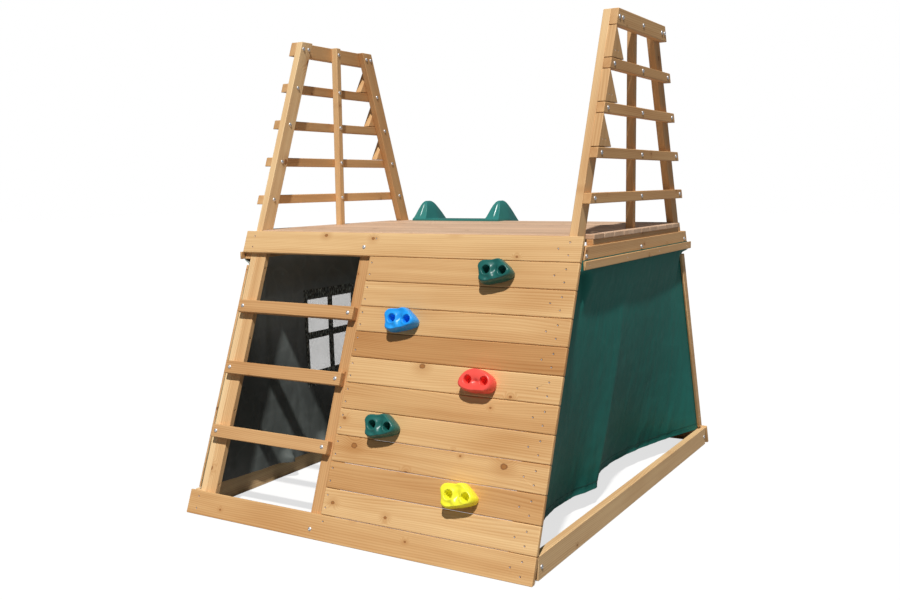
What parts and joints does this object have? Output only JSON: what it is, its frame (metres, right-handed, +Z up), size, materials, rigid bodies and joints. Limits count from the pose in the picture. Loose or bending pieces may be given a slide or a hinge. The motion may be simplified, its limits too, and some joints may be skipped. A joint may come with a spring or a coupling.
{
  "type": "climbing frame with slide",
  "caption": "Timber climbing frame for a garden: leaning end ladders round a raised deck, a climbing wall with holds, a short ladder, tarp sides with a window, and a slide.",
  "frame": {"origin": "on the ground, under the middle of the object's bounding box", "axes": "+X to the right along the climbing wall as seen from its front, +Y from the wall to the slide's exit, +Z up"},
  "size_m": [1.416, 2.963, 1.755],
  "materials": {
    "frame_timber": "planed softwood, honey stain",
    "board_timber": "planed softwood, honey stain",
    "deck_timber": "planed softwood, bleached by light",
    "tarp_cloth": "coated woven cloth, dark green",
    "window_film": "clear soft film",
    "slide_plastic": "moulded, satin",
    "hold_green": "moulded, satin",
    "hold_blue": "moulded, satin",
    "hold_red": "moulded, satin",
    "hold_yellow": "moulded, satin",
    "zinc": "bright zinc plated"
  },
  "bodies": {
    "root": {"deck_boards": "deck_timber", "deck_joists": "frame_timber", "deck_screws": "zinc", "front_bolts": "zinc", "front_bottom_rail": "board_timber", "front_left_stile": "frame_timber", "front_middle_stile": "frame_timber", "front_right_stile": "frame_timber", "front_rung_lower": "frame_timber", "front_rung_middle": "frame_timber", "front_rung_upper": "frame_timber", "front_top_rail": "board_timber", "hold_blue": "hold_blue", "hold_bolts": "zinc", "hold_green_lower": "hold_green", "hold_green_upper": "hold_green", "hold_red": "hold_red", "hold_yellow": "hold_yellow", "left_base_beam": "frame_timber", "left_centre_post": "frame_timber", "left_deck_bearer": "frame_timber", "left_deck_side_rail": "frame_timber", "left_frame_fasteners": "zinc", "left_front_leg": "frame_timber", "left_gusset_blocks": "frame_timber", "left_rear_leg": "frame_timber", "left_rungs": "frame_timber", "left_tarp": "tarp_cloth", "left_tarp_battens": "frame_timber", "left_top_rail": "frame_timber", "rear_bottom_rail": "board_timber", "rear_left_stile": "frame_timber", "rear_right_stile": "frame_timber", "rear_top_rail": "board_timber", "right_base_beam": "frame_timber", "right_centre_post": "frame_timber", "right_deck_bearer": "frame_timber", "right_deck_side_rail": "frame_timber", "right_frame_fasteners": "zinc", "right_front_leg": "frame_timber", "right_gusset_blocks": "frame_timber", "right_rear_leg": "frame_timber", "right_rungs": "frame_timber", "right_tarp": "tarp_cloth", "right_tarp_battens": "frame_timber", "right_top_rail": "frame_timber", "slide_chute": "slide_plastic", "slide_screws": "zinc", "tarp_window": "window_film", "wall_board_01": "board_timber", "wall_board_02": "board_timber", "wall_board_03": "board_timber", "wall_board_04": "board_timber", "wall_board_05": "board_timber", "wall_board_06": "board_timber", "wall_board_07": "board_timber", "wall_board_08": "board_timber", "wall_board_09": "board_timber", "wall_board_10": "board_timber", "wall_screws": "zinc"}
  },
  "joints": []
}
